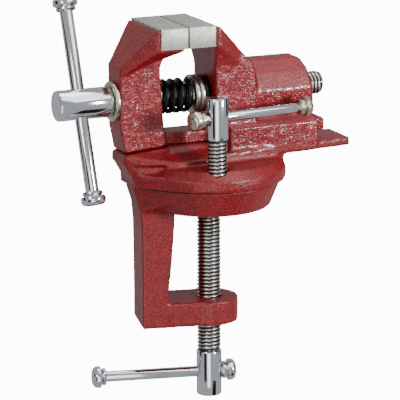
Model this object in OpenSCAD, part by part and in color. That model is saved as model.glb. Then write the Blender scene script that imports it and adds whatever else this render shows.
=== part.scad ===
// Small bench vise on a swivel base that clamps to a table edge.
// X runs along the main screw towards the rear, Y lies across the jaws, and Z is up.
// The origin is on the swivel axis, in the face that rests on the table.

/* [Clamp frame] */
// Angle of the clamp frame about the swivel axis, in degrees
frame_turn = -13; // [-20:1:0]
// Height of the swivel platform
platform_h = 14; // [13:0.5:16]
// Radius of the platform at the table face
platform_r = 32.2; // [30:0.2:33]
// Radius of the platform under the vise body
platform_top_r = 38; // [36:0.5:39]
// Distance from the swivel axis to the outside of the leg
leg_reach = 38; // [36:0.5:40]
// Half the width of the leg
leg_half = 14.5; // [13:0.5:15]
// Deepest table that fits, from the table face to the arm
table_gap = 50; // [45:1:55]
// Height of the arm
arm_h = 13.2; // [11:0.2:15]
// Radius of the boss that the clamp screw runs in
boss_r = 15.4; // [15:0.2:17]

/* [Screws] */
// Pitch of the main and clamp threads
pitch = 2; // [1.75:0.05:2.25]
// Outside diameter of the main screw
main_d = 12.4; // [12:0.2:13]
// Height of the main screw above the table face
screw_z = 59.2; // [58:0.2:60]
// Outside diameter of the clamp screw
clamp_d = 12.6; // [12:0.2:13]
// Outside diameter of the swivel lock screw
lock_d = 10.6; // [10:0.2:11]
// Radial clearance between a turning screw and its hole
run_gap = 0.05; // [0.02:0.01:0.1]

/* [Tommy bars] */
// Diameter of the main bar
main_bar_d = 7; // [6:0.2:7.4]
// Distance between the knob centres of the main bar
main_bar_l = 101; // [90:1:110]
// Lean of the main bar from upright, in degrees
main_bar_lean = 20.5; // [0:0.5:45]
// Diameter of the lock bar
lock_bar_d = 5; // [4:0.2:5.4]
// Distance between the knob centres of the lock bar
lock_bar_l = 65.6; // [60:0.2:70]
// Diameter of the clamp bar
clamp_bar_d = 5.8; // [5:0.2:6.2]
// Distance between the knob centres of the clamp bar
clamp_bar_l = 70; // [64:1:76]

/* [Jaws] */
// Width of the jaws
jaw_w = 40; // [38:1:42]
// Height of the steel jaw blocks
jaw_h = 11; // [9:0.5:12]
// Length of one jaw block along the screw
jaw_t = 15.3; // [14:0.1:16]
// Top of the jaws above the table face
jaw_top = 98; // [97:0.5:99]
// Half the width of the sliding jaw's column
column_half = 8.4; // [8:0.2:9]

/* [Vise body] */
// Radius of the swivel flange
flange_r = 40.5; // [39.5:0.5:42]
// Height of the swivel flange
flange_h = 8; // [7.5:0.5:9]
// Top of the long base plate
plate_top = 30.6; // [30:0.2:31]
// Thickness of the long base plate
plate_t = 4.4; // [4:0.2:5]
// Half the width of the guide box
box_half = 17; // [16:0.5:18]
// Rear end of the guide box
box_rear = 55.4; // [53:0.2:57]

/* [Hidden] */
$fn = 64;

// colours
enamel = [0.62, 0.07, 0.10];
ground_steel = [0.72, 0.72, 0.70];
chrome = [0.80, 0.81, 0.83];
black_steel = [0.12, 0.12, 0.13];
zinc = [0.72, 0.68, 0.56];

// small gaps: between parts that slide or rest on each other, and past a cut face
gap = 0.2;
over = 1;

// heights
seat_z = platform_h + gap;
flange_top = platform_h + flange_h;
plate_low = plate_top - plate_t;
jaw_low = jaw_top - jaw_h;

// the jaws meet here, and each block ends here
jaw_meet = -19.6;
fixed_back = jaw_meet + jaw_t;
movable_back = jaw_meet - jaw_t;

// sliding jaw
front_x = -53;
front_foot_x = -50.4;
knee_z = 77;
throat_x = -30.4;
throat_r = 11.5;
jaw_foot_z = 32.8;
bar_half = 7.3;
bar_low = 35;
bar_high = 41.5;
bar_rear = 64;

// fixed jaw and barrel
fixed_front = -2;
fixed_half = 14.6;
barrel_rear = 53.4;
barrel_top = 75.4;

// main screw
head_front = -85;
head_back = -55.6;
head_r = 8;
screw_rear = 64.4;
thread_from = -12;
main_bar_x = -72;
main_bar_shift = 1.8;
spring_front = throat_x + 1.2;
spring_back = -11.2;
spring_r = 7.8;
wire_r = 1.45;
spring_turns = 3.5;
washer_r = 10.2;

// swivel lock screw
lock_x = -9;
lock_y = -31;
lock_head_low = 41;
lock_head_top = 63.4;
lock_head_r = 6;
lock_bar_z = 52.3;
lock_bar_turn = 7.5;
lock_bar_shift = 20.4;
lock_lift = 0.8;

// clamp screw
pad_top = -2.3;
pad_low = -6.2;
clamp_head_top = -80;
clamp_head_low = -104.7;
clamp_head_r = 6.75;
clamp_bar_z = -92;
clamp_bar_shift = -24.4;

// knobs, as radius and thickness
main_knob = [6.5, 7];
lock_knob = [5.3, 7.6];
clamp_knob = [5.85, 7.3];

// pivot: a stud in the platform, with a washer and a nut in a pocket of the vise body
pivot_r = 4;
stud_z = 3;
stud_top = 34.4;
pocket_r = 8;
pocket_z = 27;
washer_t = 1.4;
nut_r = 7.4;
nut_h = 5.4;

// jaw screws
jaw_screw_y = 12;
jaw_screw_z = 91.5;
jaw_screw_r = 2;
jaw_screw_head_r = 3.5;
jaw_screw_head = 3.6;
jaw_screw_sink = 0.6;
jaw_screw_key_r = 1.7;
jaw_screw_bite = 2;

// a thread's outline as [radius, height] pairs, from z0 up, with n ridges
function ridges(r, depth, z0, n) = [
    for (i = [0:n - 1], p = [[r - depth, 0.08], [r, 0.38], [r, 0.62], [r - depth, 0.92]])
        [p[0], z0 + (i + p[1]) * pitch]];

module threaded(r, depth, low, high) {
    n = floor((high - low) / pitch);
    root = r - depth;
    rotate_extrude()
        polygon(concat([[0, low], [root, low]], ridges(r, depth, low, n), [[root, high], [0, high]]));
}

// a screw's head, with a chamfer at each end
module turned_head(r, low, high) {
    rotate_extrude()
        polygon([[0, low], [r - 0.8, low], [r, low + 0.8], [r, high - 0.8], [r - 0.8, high], [0, high]]);
}

// a cylinder along +X, from x0 to x1, on the main screw's axis
module screw_line(r, x0, x1) {
    translate([x0, 0, screw_z]) rotate([0, 90, 0]) cylinder(r = r, h = x1 - x0);
}

// a washer along +X on the main screw's axis
module screw_ring(r_in, r_out, x0, x1) {
    difference() {
        screw_line(r_out, x0, x1);
        screw_line(r_in, x0 - over, x1 + over);
    }
}

module centred_box(x0, x1, half, z0, z1) {
    translate([x0, -half, z0]) cube([x1 - x0, 2 * half, z1 - z0]);
}

// a side outline in X and Z, extruded to both sides of the middle plane
module side_slab(points, half) {
    rotate([90, 0, 0]) linear_extrude(height = 2 * half, center = true) polygon(points);
}

// an end outline in Y and Z, given for one side, extruded along X
module end_slab(half_points, x0, x1) {
    n = len(half_points);
    mirrored = [for (i = [n - 1:-1:0]) [-half_points[i][0], half_points[i][1]]];
    translate([x0, 0, 0]) rotate([90, 0, 90]) linear_extrude(height = x1 - x0)
        polygon(concat(half_points, mirrored));
}

// a top outline in X and Y, given for one side, extruded up
module plan_slab(half_points, z0, z1) {
    n = len(half_points);
    mirrored = [for (i = [n - 1:-1:0]) [half_points[i][0], -half_points[i][1]]];
    translate([0, 0, z0]) linear_extrude(height = z1 - z0) polygon(concat(half_points, mirrored));
}

// places of the three tommy bars: the bar lies along +Z of each place, with its middle at the origin
module at_main_bar() {
    translate([main_bar_x, 0, screw_z]) rotate([-main_bar_lean, 0, 0])
        translate([0, 0, main_bar_shift]) children();
}

module at_lock_bar() {
    translate([lock_x, lock_y, lock_bar_z]) rotate([0, 90, lock_bar_turn])
        translate([0, 0, lock_bar_shift]) children();
}

module at_clamp_bar() {
    translate([0, 0, clamp_bar_z]) rotate([0, 90, frame_turn]) translate([0, 0, clamp_bar_shift]) children();
}

module tommy_bar(d, span) {
    cylinder(d = d, h = span - 0.2, center = true);
}

// a knob on the end of a bar: a disc with a round outer edge and a blind hole for the bar
module tommy_knob(d, span, size, end) {
    mirror([0, 0, end < 0 ? 1 : 0]) translate([0, 0, span / 2]) difference() {
        intersection() {
            cylinder(r = size[0], h = size[1], center = true);
            sphere(r = norm([size[0], size[1] / 2]) * 0.93);
        }
        translate([0, 0, -size[1]]) cylinder(d = d + 0.04, h = size[1]);
    }
}

module jaw_screw_places() {
    for (y = [-jaw_screw_y, jaw_screw_y]) translate([0, y, jaw_screw_z]) children();
}

// a screw set in from the gripping face, pointing along dir (+1 rear, -1 front)
module jaw_screw(dir) {
    rotate([0, 90 * dir, 0]) difference() {
        union() {
            translate([0, 0, jaw_screw_sink]) cylinder(r = jaw_screw_head_r, h = jaw_screw_head);
            translate([0, 0, jaw_screw_sink + over]) cylinder(r = jaw_screw_r, h = jaw_t + jaw_screw_bite);
        }
        translate([0, 0, jaw_screw_sink - over]) cylinder(r = jaw_screw_key_r, h = over + 2, $fn = 6);
    }
}

// the counterbored holes of one jaw's screws
module jaw_screw_holes(dir) {
    translate([jaw_meet, 0, 0]) jaw_screw_places() rotate([0, 90 * dir, 0]) {
        translate([0, 0, -over])
            cylinder(r = jaw_screw_head_r + run_gap, h = over + jaw_screw_sink + jaw_screw_head + run_gap);
        cylinder(r = jaw_screw_r + run_gap, h = jaw_t + jaw_screw_bite + 2 * over);
    }
}

module clamp_frame() {
    arm_low = -table_gap - arm_h;
    leg_side = [[-43, platform_h], [-39.6, 5], [-38.4, -8], [-leg_reach, -30], [-leg_reach, arm_low],
                [-23, arm_low], [-24.4, -table_gap + 0.6], [-22.6, -32], [-20.6, -8], [-20, platform_h]];
    color(enamel) rotate([0, 0, frame_turn]) difference() {
        union() {
            cylinder(h = platform_h, r1 = platform_r, r2 = platform_top_r);
            side_slab(leg_side, leg_half);
            hull() {
                translate([0, 0, platform_h - 1]) cylinder(r = platform_top_r - 0.1, h = 1, $fn = 48);
                centred_box(-43, -leg_reach, leg_half, platform_h - 1, platform_h);
                centred_box(-leg_reach - 1, -21, leg_half, 0, over);
            }
            centred_box(over - leg_reach, over, leg_half - 0.3, arm_low, arm_low + arm_h);
            translate([0, 0, arm_low]) cylinder(r = boss_r, h = arm_h);
        }
        translate([0, 0, arm_low - over]) cylinder(d = clamp_d + 2 * run_gap, h = arm_h + 2 * over);
        translate([0, 0, stud_z - 0.1]) cylinder(r = pivot_r + run_gap, h = platform_h);
    }
}

module pivot_stud() {
    color(black_steel) {
        translate([0, 0, stud_z]) cylinder(r = pivot_r, h = stud_top - stud_z - over);
        translate([0, 0, stud_top - over]) cylinder(r1 = pivot_r, r2 = pivot_r - over, h = over);
    }
}

module pivot_washer() {
    color(zinc) translate([0, 0, pocket_z + gap / 2]) difference() {
        cylinder(r = nut_r, h = washer_t);
        translate([0, 0, -over]) cylinder(r = pivot_r + gap / 2, h = washer_t + 2 * over);
    }
}

module pivot_nut() {
    color(black_steel) translate([0, 0, pocket_z + washer_t + gap]) difference() {
        cylinder(r = nut_r, h = nut_h, $fn = 6);
        translate([0, 0, -over]) cylinder(r = pivot_r + run_gap, h = nut_h + 2 * over);
    }
}

module vise_body() {
    plate_edge = [[0, 0], [0, 20.4], [54.8, 14.8], [76.5, 12], [76.5, 0]];
    neck_edge = [[-47, 0], [-47, 8], [-38, 14], [-22, 18.6], [3, 18.6], [37, 15], [37, 0]];
    hill_edge = [[-51.4, 0], [-51.4, 8.6], [-44, 14], [-26, 20.4], [3, 20.5], [3, 0]];
    hill_crest = [[-50.8, 0], [-50.8, 8.6], [-27, 10], [3, 12], [3, 0]];
    guide = [[0, plate_low], [box_half, plate_low + 1], [box_half, 42.4], [12.4, 45.6], [0, 45.6]];
    barrel_end = [[0, 40], [12.4, 44], [11.8, 48], [14.2, 54], [14.4, 60], [11, 69],
                  [5.8, barrel_top], [0, barrel_top]];
    barrel_side = [[3, 38], [barrel_rear + 1.4, 38], [barrel_rear + 1.2, 52], [barrel_rear - 1.2, 70],
                   [barrel_rear - 3.4, barrel_top - 1], [barrel_rear - 7, barrel_top + over],
                   [3, barrel_top + over]];
    pillar_side = [[fixed_front, plate_low], [fixed_front, 88], [3, 88], [16, 79], [20, 74], [21, 68],
                   [21, plate_low]];
    way_end = [[0, plate_low], [13.5, plate_top - 0.6], [9.4, bar_low - gap], [0, bar_low - gap]];
    way_side = [[-50.8, plate_low], [-50.6, jaw_foot_z - 0.6], [-27, jaw_foot_z + 1.2], [-27, plate_low]];
    color(enamel) difference() {
        union() {
            rotate_extrude() polygon([[0, seat_z], [flange_r - 0.8, seat_z], [flange_r, seat_z + 0.8],
                [flange_r, flange_top - 1.6], [flange_r - 4.6, plate_low - over], [0, plate_low]]);
            plan_slab([[-46, 0], [-46, 10], [-30, 26], [0, 26], [0, 0]], seat_z, flange_top);
            hull() {
                plan_slab([[-46, 0], [-46, 8], [-34, 16], [-34, 0]], seat_z + 4, seat_z + 5);
                plan_slab([[-50.6, 0], [-50.6, 8.2], [-38, 14], [-38, 0]], plate_low, plate_low + over);
            }
            hull() {
                plan_slab(hill_edge, plate_low + 0.6, plate_low + 1.8);
                plan_slab(hill_crest, jaw_foot_z - 1.6, jaw_foot_z - 0.6);
            }
            plan_slab(neck_edge, flange_top - over, plate_low + over);
            plan_slab(plate_edge, plate_low, plate_top);
            end_slab(guide, 5, box_rear);
            end_slab(way_end, -27.1, 0);
            side_slab(way_side, column_half + 0.4);
            intersection() {
                end_slab(barrel_end, 3, barrel_rear + 2);
                side_slab(barrel_side, box_half);
            }
            side_slab(pillar_side, fixed_half);
            hull() {
                centred_box(fixed_back + 0.1, fixed_back + 2.8, jaw_w / 2, jaw_low, jaw_top - 1);
                centred_box(2, 3.6, 15.5, 84, 91);
                centred_box(fixed_front, 17, 12.5, 71, 78);
            }
        }
        screw_line(main_d / 2 + run_gap, fixed_back - over, barrel_rear + 2);
        centred_box(fixed_front - over, box_rear + over, bar_half + gap, bar_low - gap, bar_high + gap);
        cylinder(r = pivot_r + run_gap, h = pocket_z + over);
        translate([0, 0, pocket_z]) cylinder(r = pocket_r, h = bar_low - pocket_z);
        translate([lock_x, lock_y, 0]) cylinder(d = lock_d + 2 * run_gap, h = plate_low + over);
        jaw_screw_holes(1);
    }
}

module jaw_block(x0) {
    translate([x0, -jaw_w / 2, jaw_low]) cube([jaw_t - 0.1, jaw_w, jaw_h]);
}

module fixed_jaw_block() {
    color(ground_steel) difference() {
        jaw_block(jaw_meet + 0.1);
        jaw_screw_holes(1);
    }
}

module fixed_jaw_screws() {
    color(black_steel) translate([jaw_meet, 0, 0]) jaw_screw_places() jaw_screw(1);
}

module movable_jaw_block() {
    color(ground_steel) difference() {
        jaw_block(movable_back);
        jaw_screw_holes(-1);
    }
}

module movable_jaw_screws() {
    color(black_steel) translate([jaw_meet, 0, 0]) jaw_screw_places() jaw_screw(-1);
}

module movable_jaw() {
    column_side = concat(
        [[front_x, knee_z], [front_x, 46], [front_foot_x, jaw_foot_z],
         [-27.4, jaw_foot_z + 1.8], [-28.6, 47]],
        [for (a = [180:-15:90]) [throat_x + throat_r * (1 + cos(a)), 74 + throat_r * sin(a)]],
        [[jaw_meet - 0.3, jaw_low - 0.1], [movable_back - 0.1, jaw_low - 0.1],
         [movable_back - 1.6, jaw_top - 1]]);
    color(enamel) difference() {
        union() {
            side_slab(column_side, column_half);
            hull() {
                centred_box(movable_back - 1.6, movable_back - 0.1, jaw_w / 2, jaw_low, jaw_top - 1);
                centred_box(front_x, front_x + 3, column_half, knee_z - 4, knee_z);
            }
            hull() {
                centred_box(movable_back - 1.4, jaw_meet - 1.5, jaw_w / 2 - 0.4,
                            jaw_low - 0.9, jaw_low - 0.1);
                centred_box(front_x + 4, front_x + 5, column_half, knee_z - 2, knee_z - 1);
                centred_box(-40, throat_x, column_half - 0.1, 81, 82);
            }
            centred_box(-40, bar_rear, bar_half, bar_low, bar_high);
        }
        screw_line(main_d / 2 + run_gap, front_x - over, throat_x + 6);
        jaw_screw_holes(-1);
    }
}

module head_washer() {
    color(zinc) screw_ring(main_d / 2 + 0.3, washer_r + 0.2, head_back + 0.1, front_x - 0.1);
}

module spring_washers() {
    color(chrome) {
        screw_ring(main_d / 2 + 0.4, washer_r, -11, -8.4);
        screw_ring(main_d / 2 + 0.4, washer_r, -8.2, -5.6);
    }
}

module screw_collar() {
    color(black_steel) screw_ring(main_d / 2 + 0.4, washer_r - 0.6, -5.4, fixed_front - 0.1);
}

// one ring of eight points round the wire, at turn t of the spring
function wire_ring(t) = [for (k = [0:7]) let (
        a = t * 360, b = k * 45, r = spring_r + wire_r * cos(b),
        run = spring_back - spring_front - 2 * wire_r,
        x = spring_front + wire_r + run * t / spring_turns + wire_r * sin(b))
    [x, r * cos(a), screw_z + r * sin(a)]];

module return_spring() {
    steps = 81;
    last = steps - 1;
    points = [for (i = [0:last]) each wire_ring(i * spring_turns / last)];
    sides = [for (i = [0:last - 1], k = [0:7]) let (m = (k + 1) % 8)
        each [[8 * i + k, 8 * i + 8 + k, 8 * i + 8 + m], [8 * i + k, 8 * i + 8 + m, 8 * i + m]]];
    start_cap = [for (k = [1:6]) [0, k, k + 1]];
    end_cap = [for (k = [1:6]) [8 * last, 8 * last + k + 1, 8 * last + k]];
    color(black_steel) polyhedron(points, concat(sides, start_cap, end_cap));
}

module main_screw() {
    color(chrome) difference() {
        translate([0, 0, screw_z]) rotate([0, 90, 0]) {
            turned_head(head_r, head_front, head_back);
            translate([0, 0, head_back - over]) cylinder(d = main_d, h = thread_from - head_back + over);
            threaded(main_d / 2, 0.7, thread_from, screw_rear);
        }
        at_main_bar() cylinder(d = main_bar_d + 2 * run_gap, h = 4 * head_r, center = true);
    }
}

module main_bar() { color(chrome) at_main_bar() tommy_bar(main_bar_d, main_bar_l); }
module main_bar_top_knob() {
    color(chrome) at_main_bar() tommy_knob(main_bar_d, main_bar_l, main_knob, 1);
}

module main_bar_bottom_knob() {
    color(chrome) at_main_bar() tommy_knob(main_bar_d, main_bar_l, main_knob, -1);
}

module lock_pad() {
    color(zinc) translate([lock_x, lock_y, seat_z + lock_lift]) difference() {
        cylinder(r = lock_d / 2 - 0.5, h = 2);
        translate([0, 0, 1]) cylinder(r = 2 + run_gap, h = 2);
    }
}

module lock_screw() {
    tip_z = seat_z + lock_lift + 2.1;
    color(chrome) difference() {
        translate([lock_x, lock_y, 0]) {
            translate([0, 0, tip_z - 1]) cylinder(r = 2, h = 2);
            threaded(lock_d / 2, 0.65, tip_z, lock_head_low);
            turned_head(lock_head_r, lock_head_low - 0.1, lock_head_top);
        }
        at_lock_bar() translate([0, 0, -lock_bar_shift])
            cylinder(d = lock_bar_d + 2 * run_gap, h = 4 * lock_head_r, center = true);
    }
}

module lock_bar() { color(chrome) at_lock_bar() tommy_bar(lock_bar_d, lock_bar_l); }
module lock_bar_front_knob() {
    color(zinc) at_lock_bar() tommy_knob(lock_bar_d, lock_bar_l, lock_knob, -1);
}

module lock_bar_rear_knob() {
    color(zinc) at_lock_bar() tommy_knob(lock_bar_d, lock_bar_l, lock_knob, 1);
}

module clamp_pad() {
    color(chrome) difference() {
        union() {
            translate([0, 0, pad_low]) cylinder(r1 = 8.4, r2 = 10, h = 1.6);
            translate([0, 0, pad_low + 1.6]) cylinder(r = 10, h = pad_top - pad_low - 1.6);
        }
        translate([0, 0, pad_low - over]) cylinder(r = 4 + run_gap, h = 3.4);
    }
}

module clamp_screw() {
    color(chrome) difference() {
        union() {
            translate([0, 0, pad_low - 2]) cylinder(r = 4, h = 4.2);
            threaded(clamp_d / 2, 0.75, clamp_head_top, pad_low - 0.9);
            turned_head(clamp_head_r, clamp_head_low, clamp_head_top);
        }
        at_clamp_bar() translate([0, 0, -clamp_bar_shift])
            cylinder(d = clamp_bar_d + 2 * run_gap, h = 4 * clamp_head_r, center = true);
    }
}

module clamp_bar() { color(chrome) at_clamp_bar() tommy_bar(clamp_bar_d, clamp_bar_l); }
module clamp_bar_long_knob() {
    color(chrome) at_clamp_bar() tommy_knob(clamp_bar_d, clamp_bar_l, clamp_knob, -1);
}

module clamp_bar_short_knob() {
    color(chrome) at_clamp_bar() tommy_knob(clamp_bar_d, clamp_bar_l, clamp_knob, 1);
}

clamp_frame();
pivot_stud();
pivot_washer();
pivot_nut();
vise_body();
fixed_jaw_block();
fixed_jaw_screws();
spring_washers();
screw_collar();
movable_jaw();
movable_jaw_block();
movable_jaw_screws();
return_spring();
head_washer();
main_screw();
main_bar();
main_bar_top_knob();
main_bar_bottom_knob();
lock_pad();
lock_screw();
lock_bar();
lock_bar_front_knob();
lock_bar_rear_knob();
clamp_pad();
clamp_screw();
clamp_bar();
clamp_bar_long_knob();
clamp_bar_short_knob();
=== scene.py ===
# %% [markdown]
# # A small swivel bench vise
#
# This lesson dresses a bench vise. The frame holds every part at its true size and place, and this
# script gives the castings their soft edges, the screws their real threads and every part its finish.
# All lengths are in metres and +Z is up, as in the frame.

# %% Load the frame
import math

import bmesh
import bpy
import numpy as np
from mathutils import Matrix, Vector, noise


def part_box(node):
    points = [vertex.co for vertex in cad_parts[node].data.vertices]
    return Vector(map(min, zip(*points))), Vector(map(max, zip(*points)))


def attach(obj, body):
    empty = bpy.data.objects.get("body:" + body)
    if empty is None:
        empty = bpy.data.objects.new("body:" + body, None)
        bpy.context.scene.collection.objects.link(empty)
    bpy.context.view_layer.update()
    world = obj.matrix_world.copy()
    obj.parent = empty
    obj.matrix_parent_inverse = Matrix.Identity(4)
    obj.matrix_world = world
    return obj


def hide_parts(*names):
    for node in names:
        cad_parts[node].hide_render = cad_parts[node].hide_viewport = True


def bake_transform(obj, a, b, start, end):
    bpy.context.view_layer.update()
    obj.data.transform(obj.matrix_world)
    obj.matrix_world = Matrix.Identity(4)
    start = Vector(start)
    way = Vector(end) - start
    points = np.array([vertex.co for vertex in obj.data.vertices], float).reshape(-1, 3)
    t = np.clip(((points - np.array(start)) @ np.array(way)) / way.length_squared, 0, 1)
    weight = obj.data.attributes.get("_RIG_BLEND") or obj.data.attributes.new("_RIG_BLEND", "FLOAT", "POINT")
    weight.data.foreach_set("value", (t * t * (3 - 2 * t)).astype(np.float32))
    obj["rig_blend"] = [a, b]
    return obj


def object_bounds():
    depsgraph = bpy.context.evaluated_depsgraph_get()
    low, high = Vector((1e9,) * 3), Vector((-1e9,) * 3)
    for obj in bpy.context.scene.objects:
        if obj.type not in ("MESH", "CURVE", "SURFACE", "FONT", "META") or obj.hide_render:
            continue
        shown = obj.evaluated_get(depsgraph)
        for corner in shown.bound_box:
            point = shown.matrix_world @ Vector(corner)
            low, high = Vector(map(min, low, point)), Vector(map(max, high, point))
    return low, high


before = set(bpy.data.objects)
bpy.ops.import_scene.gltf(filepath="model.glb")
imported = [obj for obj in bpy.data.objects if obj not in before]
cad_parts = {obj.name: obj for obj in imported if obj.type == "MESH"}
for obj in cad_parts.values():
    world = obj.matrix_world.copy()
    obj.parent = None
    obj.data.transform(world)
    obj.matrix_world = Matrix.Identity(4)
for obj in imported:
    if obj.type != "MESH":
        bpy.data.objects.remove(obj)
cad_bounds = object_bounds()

MM = 0.001
print("the object measures (mm):", [round((b - a) / MM, 1) for a, b in zip(*cad_bounds)])

# %% [markdown]
# ## The camera
#
# A product photographer stands well back with a long lens, so that parallel edges stay parallel.
# The camera stands to the front left of the vise and a little above it, and aims at the middle.

# %% Camera
VIEW_TURN = math.radians(-24)
VIEW_RISE = math.radians(13.9)
VIEW_ROLL = math.radians(0.2)
VIEW_DISTANCE = 1.5
VIEW_WIDTH = 0.209974
AIM_RIGHT = -0.0045
AIM_UP = 0.0014
SENSOR_MM = 36
FAR_CLIP = 20


def aim_camera():
    back = Vector((math.sin(VIEW_TURN) * math.cos(VIEW_RISE),
                   -math.cos(VIEW_TURN) * math.cos(VIEW_RISE), math.sin(VIEW_RISE)))
    right = Vector((math.cos(VIEW_TURN), math.sin(VIEW_TURN), 0))
    up = back.cross(right)
    aim = right * AIM_RIGHT + up * AIM_UP
    data = bpy.data.cameras.new("camera")
    data.sensor_width = SENSOR_MM
    data.lens = SENSOR_MM * VIEW_DISTANCE / VIEW_WIDTH
    data.clip_end = FAR_CLIP
    camera = bpy.data.objects.new("camera", data)
    stand = Matrix.Translation(aim + back * VIEW_DISTANCE)
    turn = Matrix((right, up, back)).transposed().to_4x4()
    camera.matrix_world = stand @ turn @ Matrix.Rotation(-VIEW_ROLL, 4, "Z")
    bpy.context.scene.collection.objects.link(camera)
    bpy.context.scene.camera = camera
    return camera


camera = aim_camera()
print("lens (mm):", round(camera.data.lens))

# %% [markdown]
# ## Small helpers
#
# Colours are written as the hex values that a paint chip would have, and one function turns them to
# the linear values that a shader works in. One function adds a node, to any kind of tree. Shorter ones
# add the kinds that are used most: arithmetic, a change of range, a mix of colours, a noise, a bump.

# %% Colour and node helpers
def linear(hex_colour):
    """The linear colour of an sRGB hex value such as "#8c1018"."""
    parts = [int(hex_colour[i:i + 2], 16) / 255 for i in (1, 3, 5)]
    return tuple(c / 12.92 if c <= 0.04045 else ((c + 0.055) / 1.055) ** 2.4 for c in parts) + (1.0,)


def add(tree, kind, inputs=(), **settings):
    """Adds one node. inputs maps a socket's name or number to a value or to another node's output."""
    node = tree.nodes.new(kind)
    for name, value in settings.items():
        setattr(node, name, value)
    for key, value in dict(inputs).items():
        if isinstance(value, bpy.types.NodeSocket):
            tree.links.new(value, node.inputs[key])
        else:
            node.inputs[key].default_value = value
    return node


def calculator(tree):
    """A short way to add one math node and take its result."""
    def calc(operation, *values):
        return add(tree, "ShaderNodeMath", dict(enumerate(values)), operation=operation).outputs[0]
    return calc


def ranged(tree, value, low, high, to_low=0.0, to_high=1.0, **settings):
    """value with the range low to high stretched to the range to_low to to_high."""
    inputs = {"Value": value, "From Min": low, "From Max": high, "To Min": to_low, "To Max": to_high}
    return add(tree, "ShaderNodeMapRange", inputs, **settings).outputs[0]


def mixed(tree, share, first, second):
    """The first colour where share is 0 and the second where it is 1."""
    return add(tree, "ShaderNodeMixRGB", {"Fac": share, "Color1": first, "Color2": second}).outputs[0]


def new_material(name):
    """An empty material, with its tree, its shader and its object coordinates."""
    material = bpy.data.materials.new(name)
    material.use_nodes = True
    tree = material.node_tree
    tree.nodes.clear()
    shader = add(tree, "ShaderNodeBsdfPrincipled")
    add(tree, "ShaderNodeOutputMaterial", {"Surface": shader.outputs[0]})
    place = add(tree, "ShaderNodeTexCoord").outputs["Object"]
    return material, tree, shader, place


def cells_per_metre(size_mm):
    """The scale of a pattern whose features are size_mm across."""
    return 1 / (size_mm * MM)


def noise_field(tree, place, size_mm, detail, **more):
    """A cloudy pattern with features size_mm across, from 0 to 1."""
    inputs = {"Vector": place, "Scale": cells_per_metre(size_mm), "Detail": detail}
    inputs.update({key.capitalize(): value for key, value in more.items()})
    return add(tree, "ShaderNodeTexNoise", inputs).outputs["Fac"]


def bumped(tree, height, strength, depth_mm, **more):
    """A surface that is tilted as a relief of depth_mm would tilt it."""
    inputs = {"Height": height, "Strength": strength, "Distance": depth_mm * MM}
    inputs.update({key.capitalize(): value for key, value in more.items()})
    return add(tree, "ShaderNodeBump", inputs).outputs[0]


def wire_up(tree, shader, **outputs):
    """Links each output to the shader's socket of that name, with _ for a space."""
    for name, output in outputs.items():
        tree.links.new(output, shader.inputs[name.replace("_", " ")])


# %% [markdown]
# ## Red hammertone enamel
#
# The castings are iron, sprayed with hammertone enamel. Its silicone draws the wet paint into worm-like
# ridges on the upright faces, where the paint runs, and leaves a fine sandy skin on the others. The
# ridges are the places where a slow noise crosses its middle value, which gives closed curls of one
# width. An attribute called curl, made with each casting, says where they show.
# The crests of the curls are also painted a lighter pink: a painted highlight.

# %% Hammertone enamel
CURL_MM = 3.0
CURL_HALF_WIDTH = 0.13
CURL_DEPTH_MM = 0.34
PATCH_MM = 9
SAND_MM = 0.75
PORE_MM = 1.1
SAND_DEPTH_MM = 0.13
PAINTED_CREST_HIGHLIGHT = 0.5


def hammertone(name):
    material, tree, shader, place = new_material(name)
    calc = calculator(tree)
    curl = add(tree, "ShaderNodeAttribute", attribute_name="curl").outputs["Fac"]
    slow = noise_field(tree, place, CURL_MM, 1.0, distortion=0.8)
    off = calc("ABSOLUTE", calc("SUBTRACT", slow, 0.5))
    line = ranged(tree, off, 0.0, CURL_HALF_WIDTH, 1.0, 0.0, interpolation_type="SMOOTHSTEP")
    share = ranged(tree, noise_field(tree, place, PATCH_MM, 2.0), 0.38, 0.6, 0.25, 1.0)
    ridge = calc("MULTIPLY", calc("MULTIPLY", line, share), curl)
    sand = noise_field(tree, place, SAND_MM, 2.0)
    pores = add(tree, "ShaderNodeTexVoronoi", {"Vector": place, "Scale": cells_per_metre(PORE_MM)},
                feature="F1").outputs["Distance"]
    curled = bumped(tree, ridge, 1.0, CURL_DEPTH_MM)
    relief = bumped(tree, calc("ADD", sand, pores), 0.8, SAND_DEPTH_MM, normal=curled)
    tone = mixed(tree, ranged(tree, sand, 0.4, 0.7), linear("#5c0206"), linear("#b0141d"))
    # painted highlight: the curl crests are mixed towards a light pink, standing in for glints of light on them
    colour = mixed(tree, calc("MULTIPLY", ridge, PAINTED_CREST_HIGHLIGHT), tone, linear("#d0565c"))
    rough = ranged(tree, curl, 0.0, 1.0, 0.4, 0.24)
    gloss = ranged(tree, curl, 0.0, 1.0, 0.1, 0.5)
    wire_up(tree, shader, Base_Color=colour, Normal=relief, Roughness=rough, Coat_Weight=gloss)
    shader.inputs["Coat Roughness"].default_value = 0.12
    return material


enamel = hammertone("red_hammertone_enamel")

# %% [markdown]
# ## Ground steel
#
# The jaw blocks were surface ground, which leaves straight scratches that all run one way. A noise
# that is drawn out along one direction gives them. The steel is painted near black where the jaws
# meet: painted shade in the seam between them.

# %% Ground jaw steel
STROKE_ALONG = Vector((0.5, 0.0, 0.866))
STROKE_ACROSS = Vector((0.866, 0.0, -0.5))
STROKE_LENGTH = 0.07
STROKE_MM = 0.6
STROKE_DEPTH_MM = 0.07
SIDE_STRETCH = 0.3
STAIN_MM = 6
jaw_meet_x = (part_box("movable_jaw_block")[1][0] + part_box("fixed_jaw_block")[0][0]) / 2


def distance_along(tree, place, direction):
    product = add(tree, "ShaderNodeVectorMath", {0: place, 1: direction}, operation="DOT_PRODUCT")
    return product.outputs["Value"]


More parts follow.
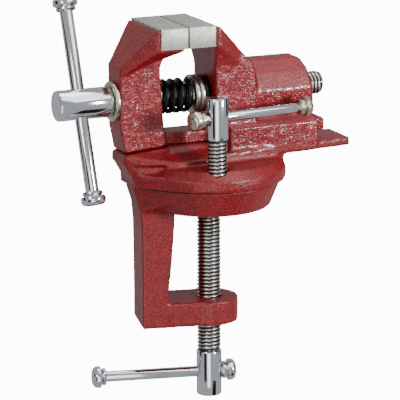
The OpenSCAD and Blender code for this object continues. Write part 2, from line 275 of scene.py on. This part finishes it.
def ground_steel():
    material, tree, shader, place = new_material("ground_jaw_steel")
    calc = calculator(tree)
    parts = add(tree, "ShaderNodeSeparateXYZ", {0: place})
    turned = add(tree, "ShaderNodeCombineXYZ", {0: distance_along(tree, place, STROKE_ALONG * STROKE_LENGTH),
                                                1: distance_along(tree, place, STROKE_ACROSS),
                                                2: calc("MULTIPLY", parts.outputs["Y"], SIDE_STRETCH)})
    strokes = noise_field(tree, turned.outputs[0], STROKE_MM, 3.0, roughness=0.6)
    steel = mixed(tree, ranged(tree, strokes, 0.32, 0.68), linear("#8f8e86"), linear("#d8d7d0"))
    away = calc("ABSOLUTE", calc("SUBTRACT", parts.outputs["X"], jaw_meet_x))
    # painted shade: near black within about half a millimetre of the plane where the jaws meet
    seam_shade = ranged(tree, away, 0.25 * MM, 0.55 * MM, 1.0, 0.0)
    colour = mixed(tree, seam_shade, steel, linear("#1b1a19"))
    rough = ranged(tree, noise_field(tree, place, STAIN_MM, 3.0), 0.0, 1.0, 0.4, 0.6)
    relief = bumped(tree, strokes, 0.7, STROKE_DEPTH_MM)
    wire_up(tree, shader, Base_Color=colour, Roughness=rough, Normal=relief)
    shader.inputs["Metallic"].default_value = 0.7
    return material


jaw_steel = ground_steel()

# %% [markdown]
# ## Plated and blackened steel
#
# Chrome is a thin bright plate over turned steel, so it shows faint turning waves. Zinc is duller and
# yellower. The spring is blackened in hot oil. One function makes all of them, from a colour, a
# roughness and the depth of the marks, and the threads get painted shade in their roots: the thread
# pieces carry the depth into the root as an attribute called groove.

# %% Plated steels
DULL_PATCH_MM = 5


def plated(name, colour, dull, roughness, mark_mm, mark_depth, groove=None, metallic=1.0):
    material, tree, shader, place = new_material(name)
    marks = noise_field(tree, place, mark_mm, 4.0)
    stain = noise_field(tree, place, DULL_PATCH_MM, 5.0, roughness=0.7)
    result = mixed(tree, ranged(tree, stain, 0.52, 0.75), linear(colour), linear(dull))
    # painted shade: the thread roots are mixed towards the groove colour
    if groove:
        depth = add(tree, "ShaderNodeAttribute", attribute_name="groove").outputs["Fac"]
        result = mixed(tree, depth, result, linear(groove))
    rough = ranged(tree, stain, 0.3, 0.8, roughness * 0.8, roughness * 1.7)
    wire_up(tree, shader, Base_Color=result, Roughness=rough, Normal=bumped(tree, marks, 0.5, mark_depth))
    shader.inputs["Metallic"].default_value = metallic
    return material


chrome = plated("bright_chrome_plate", "#d6d9de", "#b9bcc0", 0.09, 3, 0.02)
# the groove colour #2e2b28 is painted shade in the thread roots
thread_steel = plated("plated_thread_steel", "#d0cec8", "#a39e95", 0.2, 1.2, 0.04, groove="#2e2b28")
zinc = plated("yellow_zinc_plate", "#c2bda8", "#7f7866", 0.22, 1.5, 0.05)
nickel = plated("dull_nickel_plate", "#a9a79c", "#69655b", 0.28, 1.5, 0.04)
black_oxide = plated("oiled_black_oxide", "#141313", "#2b2927", 0.26, 1.2, 0.05, metallic=0.6)
print("materials:", [m.name for m in bpy.data.materials])

# %% [markdown]
# ## Finishing a piece
#
# Every piece ends the same way: its mesh takes a material, it rides on a body, and the one or more
# parts of the frame that it stands for are hidden.

# %% Finish helpers
JOIN_WITHIN = 1e-6


def link(piece):
    bpy.context.scene.collection.objects.link(piece)
    return piece


def finish(piece, body, slot, nodes, material=None):
    if material:
        piece.data.materials.clear()
        piece.data.materials.append(material)
    if "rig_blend" not in piece:
        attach(piece, body)
    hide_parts(*nodes)
    print(f"{piece.name}: {len(piece.data.polygons)} faces")
    return piece


def weld(mesh, within, face_outward=False):
    """Joins the points that lie within a distance of each other."""
    work = bmesh.new()
    work.from_mesh(mesh)
    bmesh.ops.remove_doubles(work, verts=work.verts, dist=within)
    if face_outward:
        bmesh.ops.recalc_face_normals(work, faces=work.faces)
    work.to_mesh(mesh)
    work.free()


def merged_copy(node, name):
    """A copy of a frame part's mesh, with its loose triangles joined."""
    piece = link(bpy.data.objects.new(name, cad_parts[node].data.copy()))
    weld(piece.data, JOIN_WITHIN)
    return piece


def modifier(piece, kind, **settings):
    added = piece.modifiers.new(kind.lower(), kind)
    for name, value in settings.items():
        setattr(added, name, value)
    return added


def bake_modifiers(piece):
    """Turns a piece with modifiers into a plain mesh."""
    bpy.context.view_layer.update()
    graph = bpy.context.evaluated_depsgraph_get()
    mesh = bpy.data.meshes.new_from_object(piece.evaluated_get(graph), depsgraph=graph)
    piece.modifiers.clear()
    piece.data = mesh
    return piece


def smooth_faces(piece, edge_angle=35):
    """Smooth shading, with edges sharper than edge_angle degrees kept crisp."""
    piece.data.shade_smooth()
    piece.data.set_sharp_from_angle(angle=math.radians(edge_angle))
    return piece


# %% [markdown]
# ## The castings
#
# A sand casting has no sharp edge: the pattern is rounded so that it leaves the sand, and the paint
# rounds it again. Each casting is remeshed into small even faces and then smoothed, which rounds
# every edge at once. The machined holes are then pushed back to their true radius, and slow waves in
# the surface stand for the sand. The paint curls on the upright faces above the plate, and nowhere on
# the clamp frame, so that casting's curl starts above the whole vise.

# %% Castings
WAVE_MM = 4.5
WAVE_DEPTH = 0.11 * MM
HOLE_EASE = 0.12 * MM
HOLE_MARGIN = 1.5 * MM
WALL_DRIFT = 1.6 * MM
UPRIGHT_FROM = 0.94
UPRIGHT_FADE = 0.04
CURL_FADE = 4 * MM


def rebore(points, start, axis, radius, length):
    """Pushes the points that a hole's rounded wall has closed in on back out to its radius."""
    axis = np.array(axis, float)
    along = (points - start) @ axis
    out = points - start - along[:, None] * axis
    reach = np.linalg.norm(out, axis=1)
    inside = (reach < radius) & (reach > radius - WALL_DRIFT)
    near = inside & (along > -HOLE_MARGIN) & (along < length + HOLE_MARGIN)
    points[near] += out[near] * (radius / reach[near] - 1)[:, None]


def casting(node, name, body, voxel_mm, rounds, holes, curl_above):
    piece = merged_copy(node, name)
    modifier(piece, "REMESH", mode="VOXEL", voxel_size=voxel_mm * MM, use_smooth_shade=True)
    modifier(piece, "SMOOTH", factor=0.5, iterations=rounds)
    bake_modifiers(piece)
    mesh = piece.data
    count = len(mesh.vertices)
    points = np.empty(count * 3)
    normals = np.empty(count * 3)
    mesh.vertices.foreach_get("co", points)
    mesh.vertices.foreach_get("normal", normals)
    points, normals = points.reshape(-1, 3), normals.reshape(-1, 3)
    waves = np.array([noise.noise(Vector(p) * cells_per_metre(WAVE_MM)) for p in points])
    upright = np.clip((np.abs(normals[:, 1]) - UPRIGHT_FROM) / UPRIGHT_FADE, 0, 1)
    curl = upright * np.clip((points[:, 2] - curl_above) / CURL_FADE, 0, 1)
    points += normals * ((waves - 0.5) * WAVE_DEPTH * (1 + curl))[:, None]
    for hole in holes:
        rebore(points, *hole)
    mesh.vertices.foreach_set("co", points.ravel())
    mesh.attributes.new("curl", "FLOAT", "POINT").data.foreach_set("value", curl.astype(np.float32))
    mesh.update()
    mesh.shade_smooth()
    return finish(piece, body, "enamel", [node], enamel)


def middle(node):
    low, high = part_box(node)
    return [(a + b) / 2 for a, b in zip(low, high)]


screw_y, screw_z = middle("head_washer")[1:]
lock_x, lock_y = middle("lock_pad")[:2]
MAIN_THREAD_MM = 12.4
LOCK_THREAD_MM = 10.6
CLAMP_THREAD_MM = 12.6
REARWARD, UPWARD = (1, 0, 0), (0, 0, 1)
PAST_THE_BARREL, FLANGE_DEPTH, ARM_DEPTH = 0.12, 0.01, 0.0135
screw_hole = ((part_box("movable_jaw")[0][0], screw_y, screw_z), REARWARD,
              MAIN_THREAD_MM / 2 * MM + HOLE_EASE, PAST_THE_BARREL)
lock_hole = ((lock_x, lock_y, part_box("lock_pad")[0][2]), UPWARD,
             LOCK_THREAD_MM / 2 * MM + HOLE_EASE, FLANGE_DEPTH)
clamp_hole = ((0, 0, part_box("clamp_frame")[0][2]), UPWARD,
              CLAMP_THREAD_MM / 2 * MM + HOLE_EASE, ARM_DEPTH)
plate_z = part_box("pivot_nut")[0][2]
above_all = 0.2
casting("vise_body", "vise_body_casting", "vise", 0.85, 5, [screw_hole, lock_hole], plate_z)
casting("movable_jaw", "sliding_jaw_casting", "sliding_jaw", 0.65, 6, [screw_hole], plate_z)
casting("clamp_frame", "clamp_frame_casting", "clamp", 0.8, 7, [clamp_hole], above_all)

# %% [markdown]
# ## Machined parts
#
# Ground and turned parts keep crisp edges with a very small chamfer, which catches the light. The
# steel jaws, the washers, the pads and the bars keep the frame's shape and get that chamfer.

# %% Machined parts
CHAMFER_ABOVE = 40


def machined(node, name, body, material, slot, chamfer_mm):
    piece = merged_copy(node, name)
    modifier(piece, "BEVEL", width=chamfer_mm * MM, segments=3, limit_method="ANGLE",
             angle_limit=math.radians(CHAMFER_ABOVE))
    bake_modifiers(piece)
    smooth_faces(piece)
    return finish(piece, body, slot, [node], material)


machined("fixed_jaw_block", "fixed_jaw_block_ground", "vise", jaw_steel, "jaw_steel", 0.35)
machined("movable_jaw_block", "movable_jaw_block_ground", "sliding_jaw", jaw_steel, "jaw_steel", 0.35)
machined("fixed_jaw_screws", "fixed_jaw_cap_screws", "vise", black_oxide, "black_steel", 0.25)
machined("movable_jaw_screws", "movable_jaw_cap_screws", "sliding_jaw", black_oxide, "black_steel", 0.25)
machined("spring_washers", "bright_spring_washers", "vise", nickel, "nickel", 0.7)
machined("screw_collar", "black_thrust_collar", "vise", black_oxide, "black_steel", 0.6)
machined("head_washer", "zinc_head_washer", "sliding_jaw", zinc, "zinc", 0.6)
machined("pivot_stud", "pivot_stud_turned", "clamp", black_oxide, "black_steel", 0.3)
machined("pivot_washer", "pivot_washer_stamped", "clamp", zinc, "zinc", 0.3)
machined("pivot_nut", "pivot_nut_forged", "clamp", black_oxide, "black_steel", 0.4)
machined("lock_pad", "lock_pad_turned", "lock_tip", zinc, "zinc", 0.3)
machined("clamp_pad", "clamp_pad_turned", "clamp_foot", nickel, "nickel", 0.5)
machined("main_bar", "main_bar_ground", "main_handle", chrome, "chrome", 0.3)
machined("lock_bar", "lock_bar_ground", "lock_handle", chrome, "chrome", 0.3)
machined("clamp_bar", "clamp_bar_ground", "clamp_handle", chrome, "chrome", 0.3)

# %% [markdown]
# ## Turning on the lathe
#
# Knobs and screw heads are turned, so an outline that is spun round an axis gives them exactly. The
# outline runs from one end of the axis to the other, as pairs of radius and height, and a round
# shoulder is a short arc of points.

# %% Lathe helpers
AROUND = 64


def arc(centre_r, centre_z, radius, start, end, steps=6):
    """Points on an arc, with angles in degrees from the outward direction towards +Z."""
    angles = [math.radians(start + (end - start) * i / steps) for i in range(steps + 1)]
    return [(centre_r + radius * math.cos(a), centre_z + radius * math.sin(a)) for a in angles]


def lathe(name, outline_mm, place, material):
    work = bmesh.new()
    rings = []
    for radius, height in outline_mm:
        count = AROUND if radius > 0 else 1
        turns = [2 * math.pi * i / AROUND for i in range(count)]
        rings.append([work.verts.new((radius * MM * math.cos(a), radius * MM * math.sin(a), height * MM))
                      for a in turns])
    for low, high in zip(rings, rings[1:]):
        for i in range(AROUND):
            places = ((low, i), (low, i + 1), (high, i + 1), (high, i))
            corners = [ring[at % len(ring)] for ring, at in places]
            work.faces.new(list(dict.fromkeys(corners)))
    work.transform(place)
    bmesh.ops.recalc_face_normals(work, faces=work.faces)
    mesh = bpy.data.meshes.new(name)
    work.to_mesh(mesh)
    work.free()
    mesh.materials.append(material)
    return smooth_faces(link(bpy.data.objects.new(name, mesh)))


def join(name, pieces):
    first = pieces[0]
    with bpy.context.temp_override(active_object=first, object=first, selected_objects=pieces,
                                   selected_editable_objects=pieces):
        bpy.ops.object.join()
    first.name = name
    return first


# %% [markdown]
# ## Where the three tommy bars lie
#
# Each bar slides through a cross hole in its screw's head, and its box in the frame gives its middle
# and its direction: the two knobs' middles lie on its axis.

# %% Bar places
NECK_SHARE = 0.8
BORE_SHARE = 0.4


def bar_place(first_knob, second_knob, at):
    """A place whose +Z runs along the bar from the first knob to the second, at the point at."""
    a, b = Vector(middle(first_knob)), Vector(middle(second_knob))
    along = (b - a).normalized()
    return Matrix.Translation(at) @ along.to_track_quat("Z", "Y").to_matrix().to_4x4()


def knob_outline(radius, thick, bar_radius, dome):
    """A turned knob: a neck ring next to the bar, a groove, and a cap with a round outer edge."""
    low, high = -thick / 2, thick / 2
    neck = radius * NECK_SHARE
    inner = [(bar_radius, low), (neck - 0.4, low), (neck, low + 0.4), (neck, low + thick * 0.2),
             (neck - 0.5, low + thick * 0.27), (neck - 0.3, low + thick * 0.33),
             (radius - 0.5, low + thick * 0.36), (radius, low + thick * 0.43)]
    return inner + arc(radius - dome, high - dome, dome, 0, 90) + [(0, high + 0.02)]


KNOBS = (
    ("main_bar_top_knob", "main_bar_bottom_knob", "main_handle", 6.5, 7.0, 2.4, chrome, "chrome"),
    ("lock_bar_rear_knob", "lock_bar_front_knob", "lock_handle", 5.3, 7.6, 2.9, zinc, "zinc"),
    ("clamp_bar_short_knob", "clamp_bar_long_knob", "clamp_handle", 5.85, 7.3, 3.0, chrome, "chrome"),
)
for first, second, body, radius, thick, dome, material, slot in KNOBS:
    for knob, other in ((first, second), (second, first)):
        place = bar_place(other, knob, middle(knob))
        outline = knob_outline(radius, thick, radius * BORE_SHARE, dome)
        piece = lathe(knob + "_turned", outline, place, material)
        finish(piece, body, slot, [knob])

# %% [markdown]
# ## Cut threads
#
# A thread is a ridge that climbs one pitch for each turn. A flat grid is wrapped round the axis and
# sheared by one pitch, so that its left edge meets its right edge one ridge higher. Every fourth row
# starts a new ridge, and rows that fall past an end are pressed flat on it. The grid's own nodes do
# this from named sizes, so three screws share one tree.

# %% Thread tree
ROWS_A_TURN = 4.0
SPARE_TURNS = 3.0
TURNS_BELOW = 2.0
FLANK_SHARE = 0.3
CREST_SHARE = 0.2


def named_inputs(tree, **sizes):
    """Gives a tree an input of the kind stated for each name, with _ for a space."""
    for name, kind in sizes.items():
        tree.interface.new_socket(name=name.replace("_", " "), in_out="INPUT",
                                  socket_type="NodeSocket" + kind)
    tree.interface.new_socket(name="Geometry", in_out="OUTPUT", socket_type="NodeSocketGeometry")
    return add(tree, "NodeGroupInput").outputs


def stored(tree, geometry, name, value):
    """The geometry with a value kept on each point, under a name that a material can read."""
    inputs = {"Geometry": geometry, "Name": name, "Value": value}
    return add(tree, "GeometryNodeStoreNamedAttribute", inputs, data_type="FLOAT", domain="POINT").outputs[0]


def end_of_tree(tree, geometry, material):
    smooth = add(tree, "GeometryNodeSetShadeSmooth", {"Geometry": geometry})
    real = add(tree, "GeometryNodeRealizeInstances", {"Geometry": smooth.outputs[0]})
    dressed = add(tree, "GeometryNodeSetMaterial", {"Geometry": real.outputs[0], "Material": material})
    add(tree, "NodeGroupOutput", {0: dressed.outputs[0]})
    return tree


def thread_tree():
    tree = bpy.data.node_groups.new("cut_thread", "GeometryNodeTree")
    given = named_inputs(tree, Radius="Float", Depth="Float", Pitch="Float", Length="Float", Run_Out="Float",
                         Around="Int", Material="Material")
    calc = calculator(tree)
    turns = calc("ADD", calc("FLOOR", calc("DIVIDE", given["Length"], given["Pitch"])), SPARE_TURNS)
    last_row = calc("MULTIPLY", turns, ROWS_A_TURN)
    columns, rows = calc("ADD", given["Around"], 1.0), calc("ADD", last_row, 1.0)
    grid = add(tree, "GeometryNodeMeshGrid", {"Size X": 1.0, "Size Y": 1.0, "Vertices X": columns,
                                              "Vertices Y": rows})
    at = add(tree, "ShaderNodeSeparateXYZ", {0: add(tree, "GeometryNodeInputPosition").outputs[0]})
    turn = calc("ADD", at.outputs["X"], 0.5)
    row = calc("ROUND", calc("MULTIPLY", calc("ADD", at.outputs["Y"], 0.5), last_row))
    step = calc("FLOORED_MODULO", row, ROWS_A_TURN)
    ridge = calc("FLOOR", calc("DIVIDE", row, ROWS_A_TURN))
    past_flank = calc("MINIMUM", calc("MAXIMUM", calc("SUBTRACT", step, 1.0), 0.0), 1.0)
    past_crest = calc("MAXIMUM", calc("SUBTRACT", step, 2.0), 0.0)
    first = calc("MULTIPLY", calc("MINIMUM", step, 1.0), FLANK_SHARE)
    second = calc("MULTIPLY", past_flank, CREST_SHARE)
    third = calc("MULTIPLY", past_crest, FLANK_SHARE)
    share = calc("ADD", calc("ADD", first, second), third)
    climb = calc("SUBTRACT", calc("ADD", calc("ADD", ridge, share), turn), TURNS_BELOW)
    height = calc("MINIMUM", calc("MAXIMUM", calc("MULTIPLY", climb, given["Pitch"]), 0.0), given["Length"])
    room = calc("MINIMUM", height, calc("SUBTRACT", given["Length"], height))
    fade = calc("MINIMUM", calc("DIVIDE", room, given["Run Out"]), 1.0)
    crest = calc("MULTIPLY", calc("COMPARE", step, 1.5, 0.6), fade)
    root = calc("SUBTRACT", given["Radius"], given["Depth"])
    radius = calc("ADD", root, calc("MULTIPLY", given["Depth"], crest))
    angle = calc("MULTIPLY", turn, 2 * math.pi)
    spot = add(tree, "ShaderNodeCombineXYZ", {0: calc("MULTIPLY", radius, calc("COSINE", angle)),
                                              1: calc("MULTIPLY", radius, calc("SINE", angle)), 2: height})
    # groove is 1 in the thread roots and at the run-out ends, where the material paints shade
    marked = stored(tree, grid.outputs["Mesh"], "groove", calc("SUBTRACT", 1.0, crest))
    wrapped = add(tree, "GeometryNodeSetPosition", {"Geometry": marked, "Position": spot.outputs[0]})
    disc = add(tree, "GeometryNodeMeshCircle", {"Vertices": given["Around"], "Radius": root},
               fill_type="NGON")
    under = add(tree, "GeometryNodeFlipFaces", {"Mesh": disc.outputs[0]})
    rise = add(tree, "ShaderNodeCombineXYZ", {2: given["Length"]})
    over = add(tree, "GeometryNodeTransform", {"Geometry": disc.outputs[0], "Translation": rise.outputs[0]})
    whole = add(tree, "GeometryNodeJoinGeometry")
    for part in (wrapped, under, over):
        tree.links.new(part.outputs[0], whole.inputs[0])
    closed = add(tree, "GeometryNodeMergeByDistance", {"Geometry": whole.outputs[0],
                                                       "Distance": 2 * JOIN_WITHIN})
    return end_of_tree(tree, closed.outputs[0], given["Material"])


def grown(name, tree, sizes, place):
    """The plain mesh that a tree of nodes makes from its named sizes, put in its place."""
    piece = link(bpy.data.objects.new(name, bpy.data.meshes.new(name)))
    nodes = piece.modifiers.new("nodes", "NODES")
    nodes.node_group = tree
    for socket in tree.interface.items_tree:
        if socket.in_out == "INPUT":
            nodes[socket.identifier] = sizes[socket.name]
    bake_modifiers(piece)
    piece.data.transform(place)
    return piece


cut_thread = thread_tree()

# %% [markdown]
# ## The three screws
#
# Each screw is a turned head with a cross hole, and a thread below it. The hole's mouth is
# countersunk, so that the bar slides in easily. The thread's crests stay a hair inside the frame's
# diameter, which leaves the running fit as it is.

# %% Screws
PITCH = 2.0
CREST_EASE = 0.03
RUN_OUT = 1.5
HEAD_CHAMFER = 0.9
DRILL_REACH = 20
SINK = 6


def drilled(piece, place, radius_mm, head_radius_mm):
    """Cuts a cross hole with countersunk mouths through a head."""
    mouth = head_radius_mm - 1.0
    wide = radius_mm + 0.9 + SINK
    sunk = mouth + SINK
    outline = [(0, -DRILL_REACH), (wide, -DRILL_REACH), (wide, -sunk), (radius_mm, -mouth),
               (radius_mm, mouth), (wide, sunk), (wide, DRILL_REACH), (0, DRILL_REACH)]
    cutter = lathe("drill", outline, place, chrome)
    modifier(piece, "BOOLEAN", object=cutter, operation="DIFFERENCE", solver="EXACT")
    bake_modifiers(piece)
    bpy.data.objects.remove(cutter)
    return smooth_faces(piece)


def head_outline(radius, length):
    """A cylindrical head from z = 0 up, with a rounded chamfer at each end."""
    edge = HEAD_CHAMFER
    return [(0, 0), (radius - edge * 1.6, 0), (radius - edge, 0.05), (radius - edge * 0.3, edge * 0.35),
            (radius, edge), (radius, length - edge), (radius - edge * 0.3, length - edge * 0.35),
            (radius - edge, length), (0, length)]


def upward(x, y, z):
    return Matrix.Translation((x, y, z))


def rearward(x, y, z):
    return Matrix.Translation((x, y, z)) @ Matrix.Rotation(math.radians(90), 4, "Y")


def thread(diameter, depth, length, place):
    sizes = {"Radius": (diameter / 2 - CREST_EASE) * MM, "Depth": depth * MM, "Pitch": PITCH * MM,
             "Length": length, "Run Out": RUN_OUT * MM, "Around": AROUND, "Material": thread_steel}
    return grown("thread", cut_thread, sizes, place)


def clamp_screw():
    low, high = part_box("clamp_screw")
    head_mm, radius, bar_hole, neck_mm, top_mm, into_top, depth = 24.7, 6.75, 2.95, 2.0, 4.2, 1.1, 0.75
    head_top = low[2] + head_mm * MM
    thread_top = high[2] - top_mm * MM + into_top * MM
    head = lathe("head", head_outline(radius, head_mm), upward(0, 0, low[2]), chrome)
    bar = bar_place("clamp_bar_long_knob", "clamp_bar_short_knob", (0, 0, middle("clamp_bar")[2]))
    drilled(head, bar, bar_hole, radius)
    neck = lathe("neck", [(0, 0), (5.5, 0), (5.2, neck_mm), (0, neck_mm)], upward(0, 0, head_top),
                 thread_steel)
    screw = thread(CLAMP_THREAD_MM, depth, thread_top - head_top, upward(0, 0, head_top))
    tip = lathe("tip", [(0, 0), (4, 0), (4, top_mm - 0.5), (3.5, top_mm), (0, top_mm)],
                upward(0, 0, high[2] - top_mm * MM), thread_steel)
    whole = join("clamp_screw_threaded", [head, neck, screw, tip])
    finish(whole, "clamp_spindle", "nickel", ["clamp_screw"])


def lock_screw():
    low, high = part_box("lock_screw")
    head_mm, radius, bar_hole, tip_mm, depth = 22.4, 6.0, 2.55, 2.0, 0.65
    head_low = high[2] - head_mm * MM
    head = lathe("head", head_outline(radius, head_mm), upward(lock_x, lock_y, head_low), chrome)
    bar = bar_place("lock_bar_front_knob", "lock_bar_rear_knob", (lock_x, lock_y, middle("lock_bar")[2]))
    drilled(head, bar, bar_hole, radius)
    start = low[2] + (tip_mm - 1) * MM
    length = head_low - start + 0.05 * MM
    screw = thread(LOCK_THREAD_MM, depth, length, upward(lock_x, lock_y, start))
    tip = lathe("tip", [(0, 0), (1.7, 0), (2, 0.3), (2, tip_mm), (0, tip_mm)],
                upward(lock_x, lock_y, low[2]), thread_steel)
    whole = join("lock_screw_threaded", [head, screw, tip])
    finish(whole, "lock_spindle", "chrome", ["lock_screw"])


def main_screw():
    low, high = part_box("main_screw")
    head_mm, radius, bar_hole, shank_mm, depth, tip_mm = 29.4, 8.0, 3.55, 43.6, 0.7, 0.8
    head = lathe("head", head_outline(radius, head_mm), rearward(low[0], screw_y, screw_z), chrome)
    at = (middle("main_bar")[0], screw_y, screw_z)
    drilled(head, bar_place("main_bar_bottom_knob", "main_bar_top_knob", at), bar_hole, radius)
    shank_x = low[0] + head_mm * MM
    shank = lathe("shank", [(0, -0.05), (6.1, -0.05), (6.1, shank_mm - 0.6), (5.4, shank_mm), (0, shank_mm)],
                  rearward(shank_x, screw_y, screw_z), chrome)
    start = shank_x + (shank_mm - 0.5) * MM
    length = high[0] - start - 0.6 * MM
    screw = thread(MAIN_THREAD_MM, depth, length, rearward(start, screw_y, screw_z))
    tip = lathe("tip", [(0, 0), (5.4, 0), (4.9, 0.6), (4.4, tip_mm), (0, tip_mm)],
                rearward(high[0] - tip_mm * MM, screw_y, screw_z), thread_steel)
    whole = join("main_screw_threaded", [head, shank, screw, tip])
    finish(whole, "main_spindle", "chrome", ["main_screw"])


clamp_screw()
lock_screw()
main_screw()

# %% [markdown]
# ## The return spring
#
# The spring pushes the sliding jaw open as the screw is backed out. A spiral curve gives its centre
# line, and a round wire is swept along it. Every ring of the wire keeps its own number along the coil,
# so that when the jaw opens, each ring moves whole and the wire stays round as the coils draw apart.

# %% Return spring
WIRE_MM = 1.45
COIL_MM = 7.8
COIL_TURNS = 3.5
SEAT_TURNS = 0.4
RINGS_A_TURN = 48
WIRE_SIDES = 14
WIRE_EASE = 0.98


def spring_tree():
    tree = bpy.data.node_groups.new("coil_spring", "GeometryNodeTree")
    given = named_inputs(tree, Coil_Radius="Float", Wire_Radius="Float", Height="Float", Turns="Float",
                         Rings_A_Turn="Int", Material="Material")
    coil = add(tree, "GeometryNodeCurveSpiral", {
        "Resolution": given["Rings A Turn"], "Rotations": given["Turns"], "Height": given["Height"],
        "Start Radius": given["Coil Radius"], "End Radius": given["Coil Radius"]})
    part = add(tree, "GeometryNodeSplineParameter")
    marked = stored(tree, coil.outputs[0], "along", part.outputs["Factor"])
    wire = add(tree, "GeometryNodeCurvePrimitiveCircle", {"Resolution": WIRE_SIDES,
                                                          "Radius": given["Wire Radius"]})
    swept = add(tree, "GeometryNodeCurveToMesh", {"Curve": marked, "Profile Curve": wire.outputs[0],
                                                  "Fill Caps": True})
    return end_of_tree(tree, swept.outputs[0], given["Material"])


def return_spring():
    low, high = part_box("return_spring")
    front, back = low[0] + WIRE_MM * MM, high[0] - WIRE_MM * MM
    sizes = {"Coil Radius": COIL_MM * MM, "Wire Radius": WIRE_MM * MM * WIRE_EASE, "Height": back - front,
             "Turns": COIL_TURNS, "Rings A Turn": RINGS_A_TURN, "Material": black_oxide}
    spring = grown("return_spring_coil", spring_tree(), sizes, rearward(front, screw_y, screw_z))
    weld(spring.data, JOIN_WITHIN / 10, face_outward=True)
    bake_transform(spring, "vise", "sliding_jaw", start=(back, screw_y, screw_z), end=(front, screw_y, screw_z))
    along = np.empty(len(spring.data.vertices), np.float32)
    spring.data.attributes["along"].data.foreach_get("value", along)
    seat = SEAT_TURNS / COIL_TURNS
    share = 1 - np.clip((along - seat) / (1 - 2 * seat), 0, 1)
    spring.data.attributes["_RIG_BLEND"].data.foreach_set("value", share.astype(np.float32))
    finish(spring, None, "black_steel", ["return_spring"])


return_spring()

# %% [markdown]
# ## The studio
#
# A pale floor, a bright white surround and soft lights. The floor lies low enough for the clamp screw
# to be wound right down above it. Black and white cards, which only the polished metal and the paint's
# gloss see, stand round the vise, because a mirror looks like metal only when it has both dark and
# bright things to reflect.

# %% Floor, world and lights
FLOOR_DROP = 50 * MM
FLOOR_SIZE = 12
FLOOR_GLOW = 12.0
SURROUND = 0.55
CARD_GLOW = 2.2
LIGHTS = (
    ("key", (0.6, -1.05, 0.24), 0.12, 0.2, 13),
    ("left", (-1.0, -0.75, 0.5), 0.4, 0.4, 3),
    ("top", (0.1, 0.1, 1.2), 0.6, 0.6, 5),
)
BLACK_CARDS = (
    ("front_card", (-0.7, -0.45, -0.15), 0.3, 2.2),
    ("under_card", (0.3, -0.55, -0.6), 0.42, 1),
    ("left_card", (-0.85, 0.25, 0.1), 0.4, 1),
    ("right_card", (0.85, -0.1, 0.1), 0.4, 1),
    ("back_card", (0.4, 0.85, -0.2), 0.8, 1),
)
WHITE_CARDS = (
    ("sky_card", (0.35, -0.55, 0.95), 1.0, 1),
    ("side_card", (-0.45, -1.0, -0.2), 0.5, 2.2),
)


def plain(name, colour, **settings):
    """One flat colour, with other sockets of the shader set by name, with _ for a space."""
    material, _, shader, _ = new_material(name)
    shader.inputs["Base Color"].default_value = linear(colour)
    for socket, value in settings.items():
        shader.inputs[socket.replace("_", " ")].default_value = value
    return material


def facing(place, side):
    """The turn that points one side of an object at the middle of the vise."""
    centre = Vector([(a + b) / 2 for a, b in zip(*cad_bounds)])
    return (centre - Vector(place)).to_track_quat(side, "Y").to_euler()


def sheet(name, size, place, material):
    bpy.ops.mesh.primitive_plane_add(size=size, location=place)
    made = bpy.context.object
    made.name = name
    made.data.materials.append(material)
    return made


def lamp(name, place, width, height, power):
    data = bpy.data.lights.new(name, "AREA")
    data.shape = "RECTANGLE"
    data.size, data.size_y = width, height
    data.energy = power
    light = link(bpy.data.objects.new(name, data))
    light.location = place
    light.rotation_euler = facing(place, "-Z")


def stand_card(name, place, size, stretch, material):
    """A card that only glossy rays see."""
    card = sheet(name, size, place, material)
    card.rotation_euler = facing(place, "Z")
    card.scale.y = stretch
    card.visible_camera = card.visible_diffuse = card.visible_shadow = False


def studio():
    paint = plain("pale_floor", "#f6f6f5", Roughness=0.8, Emission_Color=linear("#ffffff"),
                  Emission_Strength=FLOOR_GLOW)
    floor = sheet("floor", FLOOR_SIZE, (0, 0, cad_bounds[0][2] - FLOOR_DROP), paint)
    floor.visible_diffuse = floor.visible_glossy = False
    world = bpy.data.worlds.new("studio")
    bpy.context.scene.world = world
    world.use_nodes = True
    background = world.node_tree.nodes["Background"]
    background.inputs["Color"].default_value = linear("#f4f5f7")
    background.inputs["Strength"].default_value = SURROUND
    for light in LIGHTS:
        lamp(*light)
    black = plain("black_card", "#0c0c0c", Roughness=0.9)
    white = plain("white_card", "#ffffff", Emission_Color=linear("#f8fbff"), Emission_Strength=CARD_GLOW)
    for cards, material in ((BLACK_CARDS, black), (WHITE_CARDS, white)):
        for row in cards:
            stand_card(*row, material)


studio()
